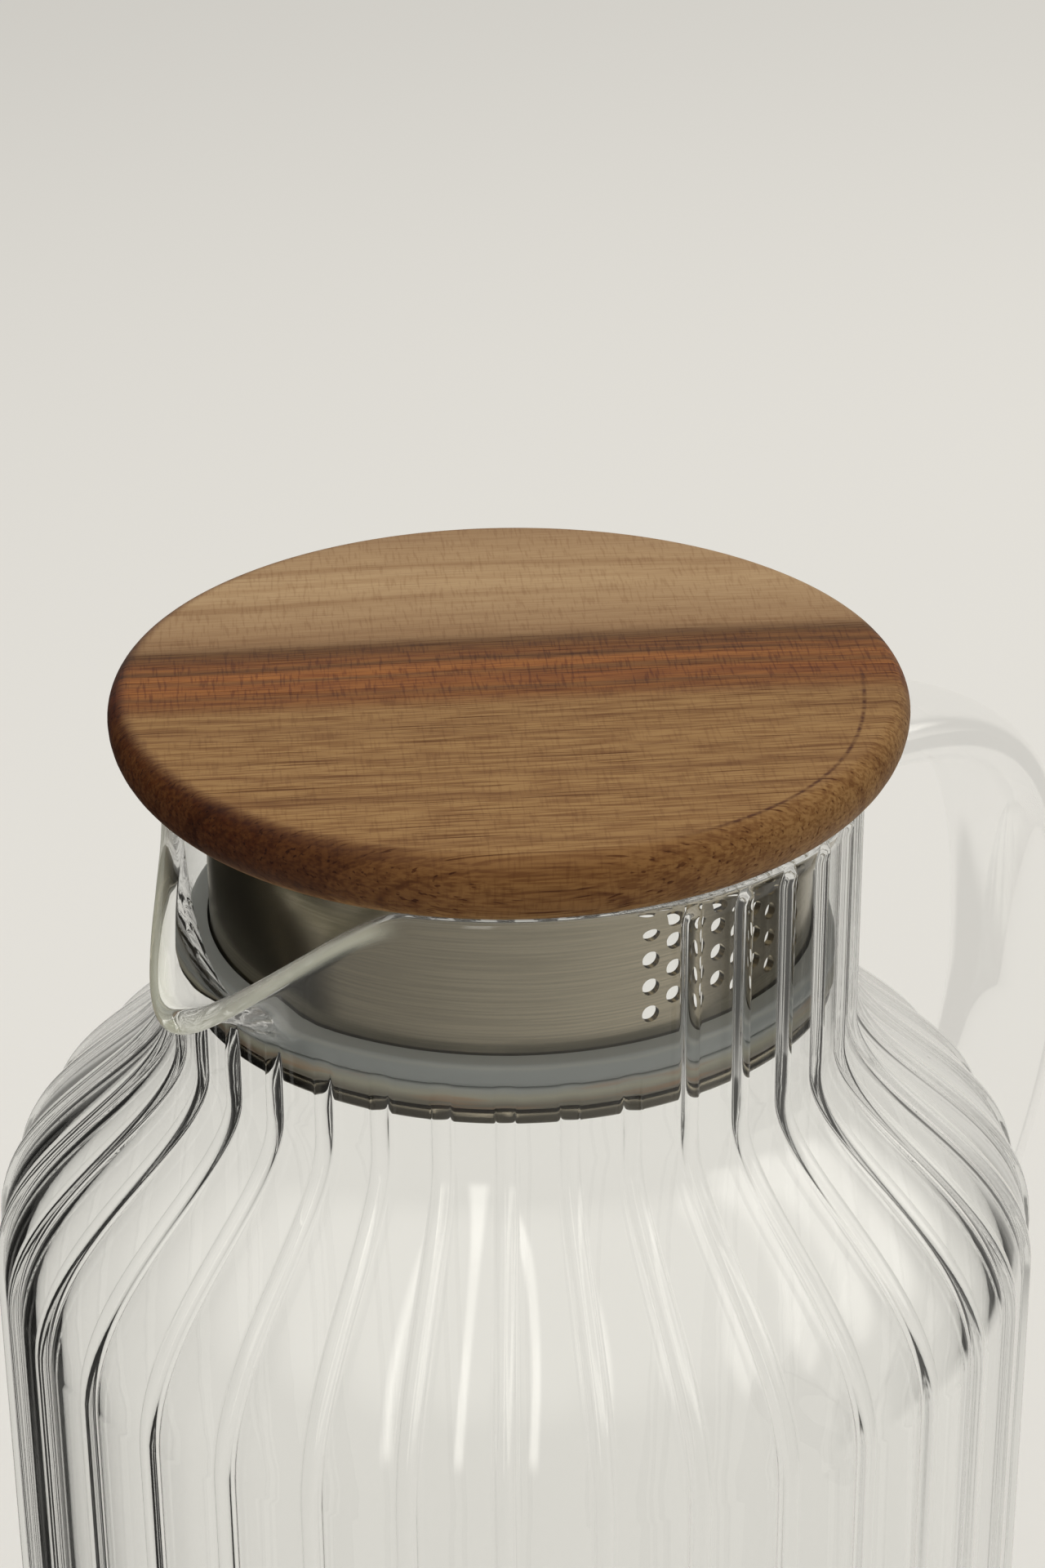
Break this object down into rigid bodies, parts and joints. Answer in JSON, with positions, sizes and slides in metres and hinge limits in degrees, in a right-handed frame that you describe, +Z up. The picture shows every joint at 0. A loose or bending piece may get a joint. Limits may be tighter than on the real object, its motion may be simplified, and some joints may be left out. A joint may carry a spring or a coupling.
{
  "type": "glass pitcher",
  "caption": "Ribbed clear glass pitcher with a pulled spout, a glass strap handle and a lift-off wooden lid that carries a steel strainer cup and a seal.",
  "frame": {"origin": "middle of the flat base, on the axis of the glass", "axes": "+Z up along the axis of the glass, -X towards the spout, +X towards the handle"},
  "size_m": [0.1672, 0.1294, 0.22],
  "materials": {
    "clear_glass": "clear blown glass with a fire-polished rim and soft moulded ribs",
    "lid_wood": "oiled hardwood with tan and reddish bands and fine dark pores",
    "satin_steel": "satin stainless steel, brushed around the cup",
    "seal_silicone": "smoky translucent silicone, soft sheen"
  },
  "bodies": {
    "jug": {"glass_body": "clear_glass", "glass_handle": "clear_glass"},
    "seal": {"seal_ring": "seal_silicone"},
    "lid": {"wood_lid": "lid_wood", "strainer_cup": "satin_steel", "lid_screw_1": "satin_steel", "lid_screw_2": "satin_steel", "lid_screw_3": "satin_steel"}
  },
  "joints": [
    {"name": "lid_lift", "type": "slide", "parent": "jug", "child": "seal", "axis": [0, 0, 1], "range_m": [0, 0.06]},
    {"name": "lid_turn", "type": "hinge", "parent": "seal", "child": "lid", "pos_m": [0, 0, 0.19], "axis": [0, 0, 1], "continuous": true}
  ]
}
